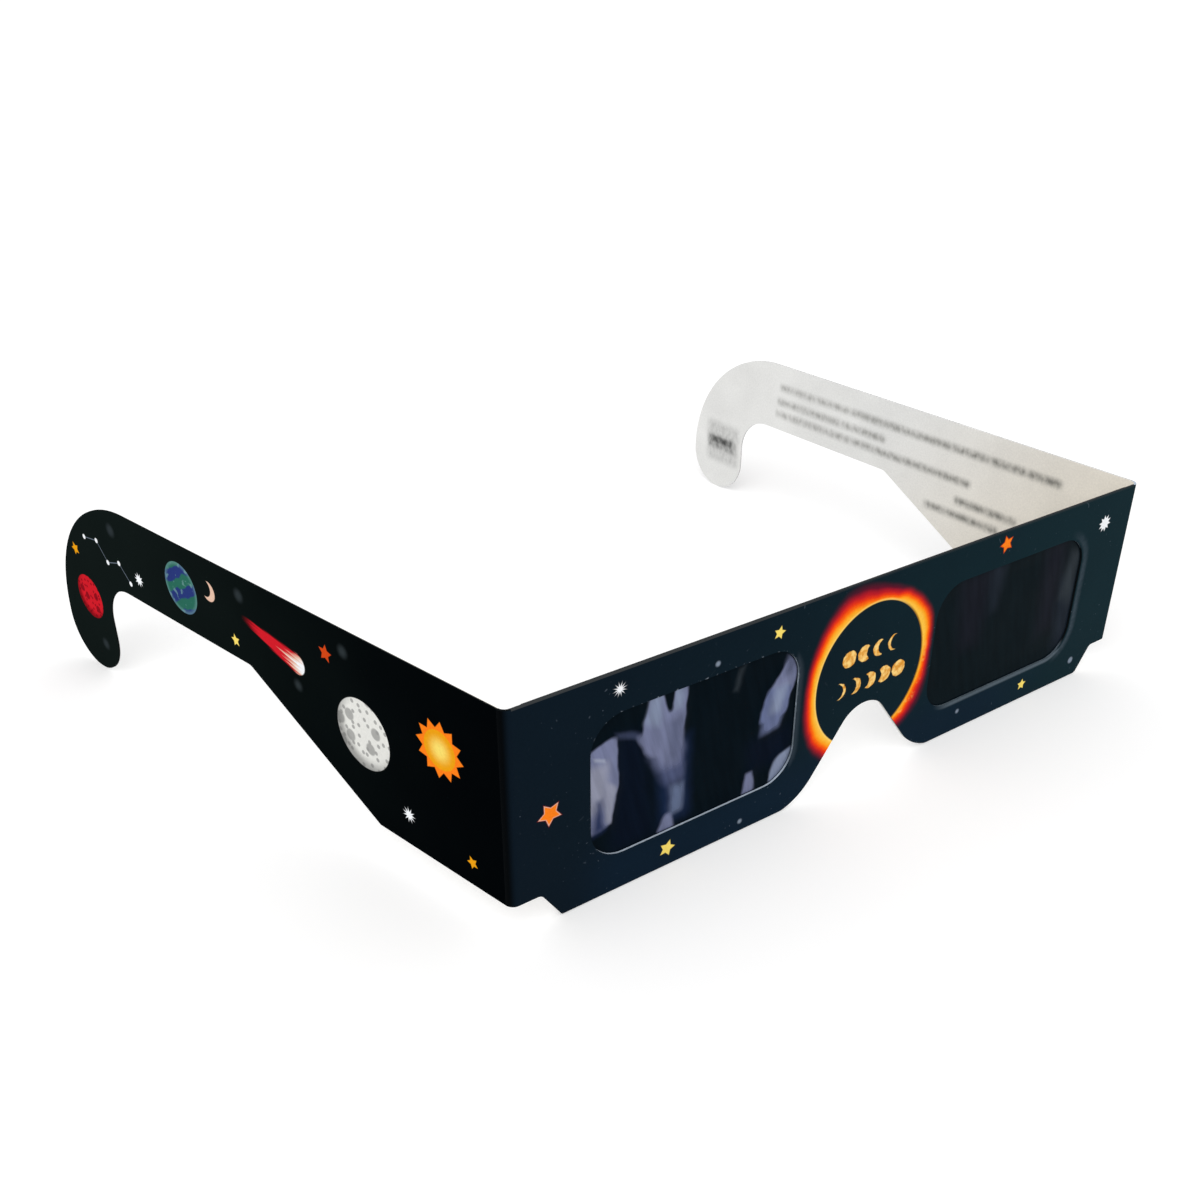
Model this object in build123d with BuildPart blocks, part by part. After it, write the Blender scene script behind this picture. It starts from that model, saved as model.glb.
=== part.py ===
"""Eclipse glasses: a folded card frame with two dark film lenses.

One die-cut card makes the front, the flap folded up behind it and the two arms, which turn back at
creases. Two pieces of dark film lie between front and flap, with glue round them.

Millimetres. X runs across the face to the wearer's left, Y from the front face back to the wearer,
Z up. The origin is on the front face, in the middle of the bridge and half way up the front.
"""

from build123d import *
from math import cos, radians, sin
import os

# Card and film
board = 0.4
film_thickness = 0.1

# Front, from the outer face of one arm to the outer face of the other
front_width = 140.0
front_height = 38.9
crease_radius = 1.6

# Card left round the lens windows: between them, outside them, and above and below them
bridge_width = 31.8
end_rim = 14.1
window_rim = 6.85
window_corner_radius = 6.0
flap_window_margin = 0.4
film_overlap = 3.0

# Nose notch: a V with a round top and flared feet, each foot a little inside the window beside it
nose_foot_inset = 1.4
nose_peak = 19.4
nose_top_radius = 6.0
nose_flare_radius = 11.0

# Relief cut at each lower corner, between the end of the fold and the arm
relief_height = 5.5
relief_slant = 3.6
relief_radius = 1.2
fold_end_inset = 9.0

# Flap behind the front
flap_end_gap = 2.0
flap_top_gap = 0.3

# Arms, measured from the crease to the back of the ear hook. The hook's inner edge is straight for a
# little above its round tip, and the curve over the ear takes up the rest of its depth.
arm_length = 126.0
arm_height = 16.5
root_length = 28.0
waist_length = 59.5
waist_radius = 2.5
hook_tip_radius = 9.1
hook_straight = 4.3

# How far each arm is turned back from the flat card, in degrees
right_bend = 76.1
left_bend = 91.6

# How far a cutting shape runs past what it cuts
overrun = 2.0

# Places and sizes that follow
top = front_height / 2
bottom = -top
stack = 2 * board + film_thickness
fold_outer_radius = stack / 2
fold_inner_radius = film_thickness / 2
fold_top = bottom + fold_outer_radius
relief_top = bottom + relief_height
flat_half_width = front_width / 2 - crease_radius
flap_half_width = flat_half_width - flap_end_gap
fold_half_length = front_width / 2 - fold_end_inset
nose_half_width = bridge_width / 2 - nose_foot_inset
window_width = (front_width - bridge_width) / 2 - end_rim
window_height = front_height - 2 * window_rim
window_spacing = bridge_width + window_width
window_centres = [(-window_spacing / 2, 0), (window_spacing / 2, 0)]
film_width = window_width + 2 * film_overlap
film_height = window_height + 2 * film_overlap
arm_low = top - arm_height
hook_radius = front_height - hook_tip_radius
hook_centre = arm_length - hook_radius
tip_centre = arm_length - hook_tip_radius
tip_level = bottom + hook_tip_radius
ear_edge = arm_length - 2 * hook_tip_radius
ear_radius = arm_low - tip_level - hook_straight
sides ={"right": (-1, right_bend), "left": (1, left_bend)}

# Rear face of the front, of the film and of the flap: each ply is drawn there and extruded forwards
front_rear = Plane.XZ.offset(-board)
film_rear = Plane.XZ.offset(-board - film_thickness)
flap_rear = Plane.XZ.offset(-stack)

os.makedirs("parts", exist_ok=True)

# Everything that the die cuts away below the front: nose notch, corner reliefs and the turn of the fold
with BuildSketch() as lower_cuts:
    with BuildLine():
        notch = FilletPolyline(
            (-front_width / 2, bottom),
            (-nose_half_width, bottom),
            (0, bottom + nose_peak),
            (nose_half_width, bottom),
            (front_width / 2, bottom),
            radius=[nose_flare_radius, nose_top_radius, nose_flare_radius],
        )
        Polyline(
            notch @ 1,
            (front_width / 2, bottom - overrun),
            (-front_width / 2, bottom - overrun),
            notch @ 0,
        )
    make_face()

with BuildSketch() as corner_relief:
    with BuildLine():
        relief_edge = FilletPolyline(
            (fold_half_length, bottom),
            (fold_half_length + relief_slant, relief_top),
            (front_width / 2, relief_top),
            radius=relief_radius,
        )
        Polyline(relief_edge @ 1, (front_width / 2, bottom), relief_edge @ 0)
    make_face()
    mirror(about=Plane.YZ)

# Front ply, flat as far as the creases and down to the turn of the fold
with BuildPart() as front_panel:
    with BuildSketch(front_rear):
        Rectangle(2 * flat_half_width, front_height)
        with Locations(*window_centres):
            RectangleRounded(window_width, window_height, window_corner_radius, mode=Mode.SUBTRACT)
        with Locations((0, bottom)):
            Rectangle(front_width, 2 * fold_outer_radius, mode=Mode.SUBTRACT)
        add(lower_cuts.sketch, mode=Mode.SUBTRACT)
        add(corner_relief.sketch, mode=Mode.SUBTRACT)
    extrude(amount=board)

front_panel.part.label = "front_panel"
export_step(front_panel.part, "parts/front_panel.step")

# Outline shared by the flap and the glue in front of it
with BuildSketch() as flap_outline:
    with Locations((0, top - flap_top_gap)):
        Rectangle(2 * flap_half_width, front_height - flap_top_gap, align=(Align.CENTER, Align.MAX))
    with Locations((0, bottom)):
        Rectangle(front_width, 2 * fold_outer_radius, mode=Mode.SUBTRACT)
    add(lower_cuts.sketch, mode=Mode.SUBTRACT)
    add(corner_relief.sketch, mode=Mode.SUBTRACT)

# Flap, with windows a little larger than the front's
with BuildPart() as back_panel:
    with BuildSketch(flap_rear):
        add(flap_outline.sketch)
        with Locations(*window_centres):
            RectangleRounded(
                window_width + 2 * flap_window_margin,
                window_height + 2 * flap_window_margin,
                window_corner_radius + flap_window_margin,
                mode=Mode.SUBTRACT,
            )
    extrude(amount=board)

back_panel.part.label = "back_panel"
export_step(back_panel.part, "parts/back_panel.step")

# Glue between front and flap, round both pieces of film
with BuildPart() as glue_layer:
    with BuildSketch(film_rear):
        add(flap_outline.sketch)
        with Locations(*window_centres):
            Rectangle(film_width, film_height, mode=Mode.SUBTRACT)
    extrude(amount=film_thickness)

glue_layer.part.label = "glue_layer"
export_step(glue_layer.part, "parts/glue_layer.step")

for name, (side, bend) in sides.items():
    # Film lens, larger than its window all round
    with BuildPart() as lens_film:
        with BuildSketch(film_rear):
            with Locations((side * window_spacing / 2, 0)):
                Rectangle(film_width, film_height)
        extrude(amount=film_thickness)

    lens_film.part.label = f"{name}_lens_film"
    export_step(lens_film.part, f"parts/{name}_lens_film.step")

    # Turn of the fold that joins front and flap below the lens
    with BuildPart() as bottom_fold:
        with BuildSketch(Plane.YZ):
            with BuildLine():
                outer = CenterArc((fold_outer_radius, fold_top), fold_outer_radius, 180, 180)
                inner = CenterArc((fold_outer_radius, fold_top), fold_inner_radius, 180, 180)
                Line(outer @ 0, inner @ 0)
                Line(inner @ 1, outer @ 1)
            make_face()
        extrude(amount=side * fold_half_length)
        with BuildSketch(Plane.XZ.offset(-stack - overrun)):
            add(lower_cuts.sketch)
        extrude(amount=stack + 2 * overrun, mode=Mode.SUBTRACT)

    bottom_fold.part.label = f"{name}_bottom_fold"
    export_step(bottom_fold.part, f"parts/{name}_bottom_fold.step")

    # Crease: the card's round turn from the front into the arm
    pivot = (side * flat_half_width, crease_radius)
    with BuildPart() as crease:
        with BuildSketch(Plane.XY.offset(relief_top)):
            with BuildLine():
                outer = CenterArc(pivot, crease_radius, -90, side * bend)
                inner = CenterArc(pivot, crease_radius - board, -90, side * bend)
                Line(outer @ 0, inner @ 0)
                Line(inner @ 1, outer @ 1)
            make_face()
        extrude(amount=front_height - relief_height)

    crease.part.label = f"{name}_crease"
    export_step(crease.part, f"parts/{name}_crease.step")

    # Arm: its plane starts where the crease ends, with its first axis along the arm
    turn = radians(side * bend - 90)
    start = (pivot[0] + crease_radius * cos(turn), pivot[1] + crease_radius * sin(turn), 0)
    along = (-side * sin(turn), side * cos(turn), 0)
    arm_plane = Plane(origin=start, x_dir=along, z_dir=(along[1], -along[0], 0))
    with BuildPart() as temple:
        with BuildSketch(arm_plane):
            with BuildLine():
                Line((0, top), (hook_centre, top))
                CenterArc((hook_centre, tip_level), hook_radius, 90, -90)
                tip = CenterArc((tip_centre, tip_level), hook_tip_radius, 0, -180)
                ear = CenterArc((ear_edge - ear_radius, arm_low - ear_radius), ear_radius, 0, 90)
                Line(tip @ 1, ear @ 0)
                FilletPolyline(
                    ear @ 1,
                    (waist_length, arm_low),
                    (root_length, relief_top),
                    radius=waist_radius,
                )
                Polyline((root_length, relief_top), (0, relief_top), (0, top))
            make_face()
        extrude(amount=-side * board)

    temple.part.label = f"{name}_temple"
    export_step(temple.part, f"parts/{name}_temple.step")
    print(name, "crease axis at", pivot, "arm starts at", start)
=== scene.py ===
from math import cos, hypot, pi, radians, sin
import bpy
from mathutils import Matrix, Vector, noise


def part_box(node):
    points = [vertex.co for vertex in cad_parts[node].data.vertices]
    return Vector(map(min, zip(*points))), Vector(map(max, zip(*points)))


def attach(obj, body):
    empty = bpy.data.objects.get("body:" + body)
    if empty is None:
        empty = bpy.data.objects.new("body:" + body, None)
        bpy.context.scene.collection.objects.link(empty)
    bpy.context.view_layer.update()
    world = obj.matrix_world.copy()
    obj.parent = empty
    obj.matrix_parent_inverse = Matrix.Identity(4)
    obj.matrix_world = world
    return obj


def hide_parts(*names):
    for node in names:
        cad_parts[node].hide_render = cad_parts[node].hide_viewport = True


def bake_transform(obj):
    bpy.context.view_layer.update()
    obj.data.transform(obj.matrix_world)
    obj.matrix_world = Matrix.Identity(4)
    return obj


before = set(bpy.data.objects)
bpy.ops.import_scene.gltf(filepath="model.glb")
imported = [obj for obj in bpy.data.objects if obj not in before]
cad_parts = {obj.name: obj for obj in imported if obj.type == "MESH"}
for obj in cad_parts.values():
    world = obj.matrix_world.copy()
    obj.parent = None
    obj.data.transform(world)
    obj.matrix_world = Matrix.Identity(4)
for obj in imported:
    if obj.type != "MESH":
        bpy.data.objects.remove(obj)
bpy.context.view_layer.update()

# Eclipse glasses in printed card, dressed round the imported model. The frame is in metres: X runs to
# the wearer's left, Y back to the wearer and Z up. The print is laid out in card millimetres.
mm = 0.001

# Card, from the frame
front_low, front_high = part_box("front_panel")
flap_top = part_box("back_panel")[1].z
board = front_high.y - front_low.y
card_top = front_high.z
card_bottom = -card_top
flat_half_width = front_high.x
crease_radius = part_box("left_crease")[1].x - flat_half_width

# Side of the face that each arm is on, and how far it is turned back from the flat card
sides = {"right": -1, "left": 1}
bends = {"right": radians(76.1), "left": radians(91.6)}

# Lens windows: size, corner radius and how far the middle is from the middle of the front
window_width = 40.0 * mm
window_height = 25.2 * mm
window_corner = 6.0 * mm
window_across = 35.9 * mm

# Film: how far it bulges in its window, how far in from the card it is still held flat, the size of
# its loose waves, how far a dark facet sinks and how deep the waves are in shares of the bulge, over
# how many millimetres the film rises to a facet, and how round a facet's corners get
film_bulge = 0.3 * mm
film_hold = 3.0 * mm
film_slack = 9.0 * mm
film_sink = 0.35
film_waves = 0.35
facet_slope = 3.0
widest_rounding = 2.4

# Divisions of each crease and of each film, and the sharpest bend that is shaded smooth
crease_steps = (32, 24)
film_steps = (92, 62)
smooth_angle = radians(35)

# Finishes: roughness of print, bare card, cut card, film and glue, how much smoother print makes the
# card, how metallic a bright facet is, how much each shines, and how high fibres and ripples rise
print_roughness = 0.5
bare_roughness = 0.8
cut_roughness = 0.78
film_roughness = 0.16
glue_roughness = 0.35
print_smoothing = 0.34
film_metal = 3.0
print_gloss = 0.008
bare_gloss = 0.12
film_gloss = 0.006
glue_gloss = 0.4
print_fibres = 0.012 * mm
flap_fibres = 0.015 * mm
glue_ripples = 0.02 * mm
film_ripples = 0.02 * mm

# Camera, as the photograph was taken
camera_place = Vector((-133.82, -115.42, 104.46)) * mm
camera_look = Vector((0.50367, 0.73007, -0.46186))
camera_roll = radians(-0.11)
camera_lens = 35.86

# Studio
floor_reach = 20.0
key_direction = Vector((0.62, 0.62, -0.85))
key_softness = radians(50)
key_strength = 1.0
sky_strength = 0.83
floor_glow = 0.28


def ink(red, green, blue):
    """A colour written from 0 to 255 as it shows, made shader colour."""
    shares = [value / 255 for value in (red, green, blue)]
    return (*[s / 12.92 if s <= 0.04045 else ((s + 0.055) / 1.055) ** 2.4 for s in shares], 1.0)


# Inks of the motifs
white_ink = ink(244, 247, 250)
yellow_ink = ink(250, 222, 110)
gold_ink = ink(255, 214, 130)
old_gold_ink = ink(222, 150, 52)
amber_ink = ink(236, 160, 22)
orange_ink = ink(252, 128, 28)
rust_ink = ink(205, 70, 24)
red_ink = ink(206, 30, 42)
wine_ink = ink(120, 14, 26)
rim_ink = ink(228, 190, 168)
haze_ink = ink(128, 140, 156)
faint_ink = ink(44, 51, 54)
moon_ink = ink(228, 228, 223)
crater_ink = ink(150, 150, 148)
sea_ink = ink(42, 56, 118)
shore_ink = ink(44, 104, 88)
foam_ink = ink(116, 158, 160)

# Card, its ground inks and its film
# The front's navy turns lighter and greener from the wearer's right to the left: painted sheen
front_right_ink = ink(12, 23, 33)
front_left_sheen_ink = ink(14, 37, 44)
front_low_ink = ink(14, 31, 47)
arm_root_ink = ink(3, 5, 7)
arm_tip_ink = ink(18, 25, 24)
core_card = ink(182, 194, 208)
# Grey of cut board in painted shade
shaded_cut_card = ink(84, 96, 105)
pressed_card = ink(56, 59, 61)
inked_card = ink(18, 21, 23)
grey_card = ink(230, 230, 228)
# Cream painted for the warm light on the bare inside near the creases
warm_lit_card = ink(232, 225, 212)
rule_ink = ink(112, 111, 106)
block_ink = ink(54, 55, 54)
glue_colour = ink(214, 208, 190)
# The film's own black and slate, then the tones of the reflections painted on its facets
film_black = ink(6, 16, 23)
film_slate = ink(10, 21, 26)
reflected_plum = ink(22, 25, 34)
reflected_haze = ink(29, 36, 46)
reflected_navy = ink(8, 17, 31)
reflected_blue = ink(22, 36, 64)
reflected_tide = ink(32, 45, 82)
reflected_mist = ink(44, 51, 57)
reflected_smoke = ink(50, 57, 80)
reflected_dusk = ink(76, 84, 116)
reflected_pool = ink(92, 104, 132)
reflected_veil = ink(88, 94, 120)
reflected_steel = ink(98, 108, 143)
film_gleam = ink(112, 118, 148)
reflected_frost = ink(127, 138, 163)
reflected_bloom = ink(142, 145, 164)
film_shine = ink(146, 152, 172)

# Glow round the dark disc: its colours from the disc outwards, its flecks, and its rim in the light
# and in the shade
glow_colours = (
    (0.0, ink(255, 196, 70)), (0.2, ink(255, 168, 36)), (0.36, ink(255, 110, 16)),
    (0.52, ink(236, 56, 20)), (0.7, ink(192, 30, 38)), (1.0, ink(108, 16, 44)),
)
glow_fleck = ink(255, 186, 84)
glow_rim = ink(255, 212, 116)
glow_shade = ink(88, 30, 6)

# Studio
plain_white = (1.0, 1.0, 1.0, 1.0)
floor_colour = ink(231, 231, 231)


class Wire:
    """The number on one socket of a shader tree. A sum of wires adds its Math nodes to that tree."""

    def __init__(self, tree, socket):
        self.tree = tree
        self.socket = socket

    def __add__(self, other):
        return calc(self.tree, "ADD", self, other)

    def __sub__(self, other):
        return calc(self.tree, "SUBTRACT", self, other)

    def __rsub__(self, other):
        return calc(self.tree, "SUBTRACT", other, self)

    def __mul__(self, other):
        return calc(self.tree, "MULTIPLY", self, other)

    def __truediv__(self, other):
        return calc(self.tree, "DIVIDE", self, other)

    def __rtruediv__(self, other):
        return calc(self.tree, "DIVIDE", other, self)

    def do(self, operation, *others):
        return calc(self.tree, operation, self, *others)

    def ramp(self, start, end, low=0.0, high=1.0):
        """Low up to start, high from end on, and smooth between."""
        inputs = {"Value": self, "From Min": start, "From Max": end, "To Min": low, "To Max": high}
        node = add_node(self.tree, "ShaderNodeMapRange", inputs, interpolation_type="SMOOTHSTEP")
        return Wire(self.tree, node.outputs["Result"])

    def fade(self, start, end):
        """A ramp from 1 down to 0."""
        return self.ramp(start, end, high=0.0, low=1.0)


def connect(tree, value, socket):
    """Link a wire or a socket to a node's input, or set the input to a plain value."""
    source = value.socket if isinstance(value, Wire) else value
    if isinstance(source, bpy.types.NodeSocket):
        tree.links.new(source, socket)
    else:
        socket.default_value = source


def add_node(tree, kind, inputs, **settings):
    """One node with its settings and what goes into it."""
    node = tree.nodes.new(kind)
    for name, value in settings.items():
        setattr(node, name, value)
    for key, value in inputs.items():
        connect(tree, value, node.inputs[key])
    return node


def calc(tree, operation, *values):
    """One Math node."""
    node = add_node(tree, "ShaderNodeMath", dict(enumerate(values)), operation=operation)
    return Wire(tree, node.outputs[0])


def vector_calc(tree, operation, *values):
    """One Vector Math node. Its result is a vector."""
    node = add_node(tree, "ShaderNodeVectorMath", dict(enumerate(values)), operation=operation)
    return node.outputs["Vector"]


def measure(tree, operation, *values):
    """One Vector Math node. Its result is a number."""
    node = add_node(tree, "ShaderNodeVectorMath", dict(enumerate(values)), operation=operation)
    return Wire(tree, node.outputs["Value"])


def scaled(tree, vector, factor):
    """A vector or a colour times a number."""
    node = add_node(tree, "ShaderNodeVectorMath", {"Vector": vector, "Scale": factor}, operation="SCALE")
    return node.outputs["Vector"]


def split(tree, vector):
    """The three numbers of a vector."""
    node = add_node(tree, "ShaderNodeSeparateXYZ", {0: vector})
    return [Wire(tree, socket) for socket in node.outputs]


def on_card(tree, place):
    """How far across or along the card, and how far up, a place is."""
    return split(tree, place)[::2]


def join(tree, x, y, z=0.0):
    """A vector of three numbers."""
    return add_node(tree, "ShaderNodeCombineXYZ", {0: x, 1: y, 2: z}).outputs[0]


def cloud(tree, place, scale, detail=2.0):
    """Smooth noise round a half."""
    node = add_node(tree, "ShaderNodeTexNoise", {"Vector": place, "Scale": scale, "Detail": detail})
    return Wire(tree, node.outputs["Fac"])


def cells(tree, place, scale, **inputs):
    """Flat cells scattered over a place: how far their middles are, and a colour for each."""
    inputs = {"Vector": place, "Scale": scale, **inputs}
    node = add_node(tree, "ShaderNodeTexVoronoi", inputs, voronoi_dimensions="2D")
    return Wire(tree, node.outputs["Distance"]), node.outputs["Color"]


def warped(tree, place, scale, amount):
    """A place pushed about by smooth noise."""
    node = add_node(tree, "ShaderNodeTexNoise", {"Vector": place, "Scale": scale, "Detail": 1.0})
    push = vector_calc(tree, "SUBTRACT", node.outputs["Color"], (0.5, 0.5, 0.5))
    return vector_calc(tree, "ADD", place, scaled(tree, push, amount))


def lay(tree, under, over, mask):
    """One colour laid over another where the mask is 1."""
    return add_node(tree, "ShaderNodeMix", {0: mask, 6: under, 7: over}, data_type="RGBA").outputs[2]


def colour_ramp(tree, number, *stops):
    """A colour that follows a number through stops of position and colour."""
    node = add_node(tree, "ShaderNodeValToRGB", {0: number})
    elements = node.color_ramp.elements
    while len(elements) < len(stops):
        elements.new(1.0)
    for element, (position, colour) in zip(elements, stops):
        element.position = position
        element.color = colour
    return node.outputs["Color"]


def new_group(name, inputs, outputs):
    """A shader node group: its tree, what it is given by name, and the node that takes its results."""
    tree = bpy.data.node_groups.new(name, "ShaderNodeTree")
    kinds = {1: "NodeSocketFloat", 3: "NodeSocketVector", 4: "NodeSocketColor"}
    for label, default in inputs.items():
        kind = kinds[len(default) if isinstance(default, tuple) else 1]
        tree.interface.new_socket(label, in_out="INPUT", socket_type=kind).default_value = default
    for label, kind in outputs.items():
        tree.interface.new_socket(label, in_out="OUTPUT", socket_type="NodeSocket" + kind)
    entry = tree.nodes.new("NodeGroupInput")
    given = {label: entry.outputs[label] for label in inputs}
    for label, default in inputs.items():
        if isinstance(default, float):
            given[label] = Wire(tree, given[label])
    return tree, given, tree.nodes.new("NodeGroupOutput")


def give(tree, result, **values):
    """Link a group's results, which are named with _ for a space, and return the group."""
    for name, value in values.items():
        connect(tree, value, result.inputs[name.replace("_", " ")])
    return tree


def use(tree, group, *shared, **inputs):
    """Place a group in a tree. Inputs are named with _ for a space, and results come by name."""
    node = tree.nodes.new("ShaderNodeGroup")
    node.node_tree = group
    for given in (*shared, inputs):
        for name, value in given.items():
            connect(tree, value, node.inputs[name.replace("_", " ")])
    return {s.name: Wire(tree, s) if s.type == "VALUE" else s for s in node.outputs}


# Groups that draw a motif. A place on the card is X across or along it, Y into the board and Z up.
# A motif has its middle, its radius, its turn from level and, where it isn't round, its squash.
here = (0.0, 0.0, 0.0)
motif = {"Place": here, "Across": 0.0, "Up": 0.0, "Radius": 1.0, "Turn": 0.0, "Squash": 1.0}
picture = {"Mask": "Float", "Colour": "Color"}
blur = 0.07
facet_sides = ("First", "Second", "Third", "Fourth")

# Flares of the glow round the dark disc: where round it in degrees, how much farther out the glow
# runs there, how broad the flare is and how much hotter
flares = (
    (28, 0.42, 0.4, 0.3), (58, 0.15, 0.3, 0.0), (84, 0.1, 0.3, -0.22), (112, 0.75, 0.4, 0.0),
    (145, 0.35, 0.4, 0.1), (190, 0.12, 0.5, 0.1), (228, 0.5, 0.6, 0.1), (322, 0.6, 0.5, -0.05),
)


def passed_on(given):
    """What a motif is given, to hand on to a group inside it."""
    return {name: given[name] for name in motif}


def make_motif_place():
    """The place as a motif sees it: from its middle, turned with it and in shares of its radius."""
    tree, given, result = new_group("motif_place", motif, {"Local": "Vector", "Distance": "Float"})
    across, up = on_card(tree, given["Place"])
    flat = join(tree, across - given["Across"], up - given["Up"])
    inputs = {"Vector": flat, "Angle": 0.0 - given["Turn"]}
    turned = add_node(tree, "ShaderNodeVectorRotate", inputs, rotation_type="Z_AXIS").outputs[0]
    size = join(tree, given["Radius"], given["Radius"] * given["Squash"], 1.0)
    local = vector_calc(tree, "DIVIDE", turned, size)
    return give(tree, result, Local=local, Distance=measure(tree, "LENGTH", local))


def make_spot():
    """A disc or an ellipse."""
    outputs = {"Mask": "Float", "Local": "Vector", "Distance": "Float"}
    tree, given, result = new_group("spot", {**motif, "Blur": blur}, outputs)
    seen = use(tree, motif_place, passed_on(given))
    outside = (seen["Distance"] - 1.0) * given["Radius"] / given["Blur"]
    return give(tree, result, Mask=outside.fade(-1.0, 1.0), **seen)


def make_star():
    """A star. Each edge runs from a tip at the radius to a waist at a share of it."""
    tree, given, result = new_group("star", {**motif, "Points": 5.0, "Waist": 0.45}, {"Mask": "Float"})
    seen = use(tree, motif_place, passed_on(given))
    across, up = split(tree, seen["Local"])[:2]
    half_point = pi / given["Points"]
    fold = up.do("ARCTAN2", across).do("PINGPONG", half_point)
    edge_across = given["Waist"] * half_point.do("SINE")
    edge_up = 1.0 - given["Waist"] * half_point.do("COSINE")
    edge_length = (edge_across * edge_across + edge_up * edge_up).do("SQRT")
    past_tip = (seen["Distance"] * fold.do("COSINE") - 1.0) * edge_across
    outside = (past_tip + seen["Distance"] * fold.do("SINE") * edge_up) / edge_length * given["Radius"]
    return give(tree, result, Mask=outside.fade(-blur, blur))


def make_stroke():
    """A straight line with round ends. Its ends are places with X along and Z up."""
    inputs = {"Place": here, "From": here, "To": here, "Width": 0.3}
    tree, given, result = new_group("stroke", inputs, {"Mask": "Float"})
    flat = vector_calc(tree, "MULTIPLY", given["Place"], (1.0, 0.0, 1.0))
    offset = vector_calc(tree, "SUBTRACT", flat, given["From"])
    run = vector_calc(tree, "SUBTRACT", given["To"], given["From"])
    share = measure(tree, "DOT_PRODUCT", offset, run) / measure(tree, "DOT_PRODUCT", run, run)
    nearest = scaled(tree, run, share.do("MAXIMUM", 0.0).do("MINIMUM", 1.0))
    outside = measure(tree, "DISTANCE", offset, nearest) - given["Width"] * 0.5
    return give(tree, result, Mask=outside.fade(-blur, blur))


def make_dashes():
    """A row of soft dashes of uneven length. Without gaps it is one soft bar."""
    inputs = {
        "Place": here, "From": 0.0, "To": 10.0, "Up": 0.0, "Thickness": 1.0, "Blur": 0.3, "Gaps": 1.0,
    }
    tree, given, result = new_group("dashes", inputs, {"Mask": "Float"})
    along, up = on_card(tree, given["Place"])
    half = given["Thickness"] * 0.5
    row = ((up - given["Up"]).do("ABSOLUTE") - half) / given["Blur"]
    middle = (given["From"] + given["To"]) * 0.5
    ends = ((along - middle).do("ABSOLUTE") - (given["To"] - given["From"]) * 0.5) / given["Blur"]
    gaps = cloud(tree, join(tree, along, given["Up"] * 7.0), 0.5, 1.0).fade(0.28, 0.5)
    tone = cloud(tree, join(tree, along, up * 0.6, given["Up"]), 0.9, 3.0).ramp(0.3, 0.7, 0.55, 1.0)
    shape = row.fade(-1.0, 1.0) * ends.fade(-1.0, 1.0)
    mask = shape * (1.0 - gaps * given["Gaps"] * 0.85) * tone
    return give(tree, result, Mask=mask)


def make_moon():
    """A ball with craters, darker towards one side."""
    tree, given, result = new_group("moon", {**motif, "Light": moon_ink, "Dark": crater_ink}, picture)
    ball = use(tree, spot, passed_on(given))
    place = vector_calc(tree, "ADD", ball["Local"], join(tree, given["Across"], given["Up"]))
    colour = given["Light"]
    for scale, size, rim in ((1.3, 0.22, 0.04), (3.4, 0.2, 0.05)):
        distance = cells(tree, place, scale, Randomness=0.8)[0]
        colour = lay(tree, colour, given["Dark"], distance.ramp(size - rim, size + rim, 0.8, 0.0))
    across, up = split(tree, ball["Local"])[:2]
    shade = (ball["Distance"] + across * 0.25 - up * 0.25).ramp(0.7, 1.2, 0.0, 0.7)
    shaded = lay(tree, colour, scaled(tree, given["Dark"], 0.5), shade)
    return give(tree, result, Mask=ball["Mask"], Colour=shaded)


def make_banded_planet():
    """A ball with wavy bands of two colours and a pale haze at its edge."""
    inputs = {**motif, "First": sea_ink, "Second": shore_ink, "Haze": foam_ink}
    tree, given, result = new_group("banded_planet", inputs, picture)
    ball = use(tree, spot, passed_on(given))
    across, up = split(tree, warped(tree, ball["Local"], 1.6, 0.5))[:2]
    bands = (up * 8.0 + across * 0.8).do("SINE").ramp(-0.3, 0.3)
    colour = lay(tree, given["First"], given["Second"], bands)
    storm = cloud(tree, ball["Local"], 3.0).ramp(0.58, 0.66, 0.0, 0.6)
    colour = lay(tree, colour, given["Haze"], storm)
    colour = lay(tree, colour, given["Haze"], ball["Distance"].ramp(0.8, 1.0, 0.0, 0.45))
    return give(tree, result, Mask=ball["Mask"], Colour=colour)


def make_comet():
    """A round head with a streaked tail that runs out along its turn and thins out."""
    tree, given, result = new_group("comet", {**motif, "Tail": 8.0}, picture)
    seen = use(tree, motif_place, passed_on(given))
    along, up = split(tree, seen["Local"])[:2]
    share = along / given["Tail"]
    streaks = cloud(tree, join(tree, along * 0.12, up * 2.6), 1.5)
    width = 1.0 - share.do("MAXIMUM", 0.0) * 0.8 - (streaks - 0.5) * 0.5
    band = (up.do("ABSOLUTE") - width).fade(-0.12, 0.12)
    tail = band * along.ramp(-0.1, 0.1) * share.fade(0.75, 1.0)
    head = (seen["Distance"] - 1.0).fade(-0.06, 0.06)
    warmth = share + up.do("ABSOLUTE") * 0.25 + (streaks - 0.5) * 0.7
    stops = ((0.0, white_ink), (0.16, rim_ink), (0.3, red_ink), (0.7, red_ink), (1.0, wine_ink))
    return give(tree, result, Mask=tail.do("MAXIMUM", head), Colour=colour_ramp(tree, warmth, *stops))


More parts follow.
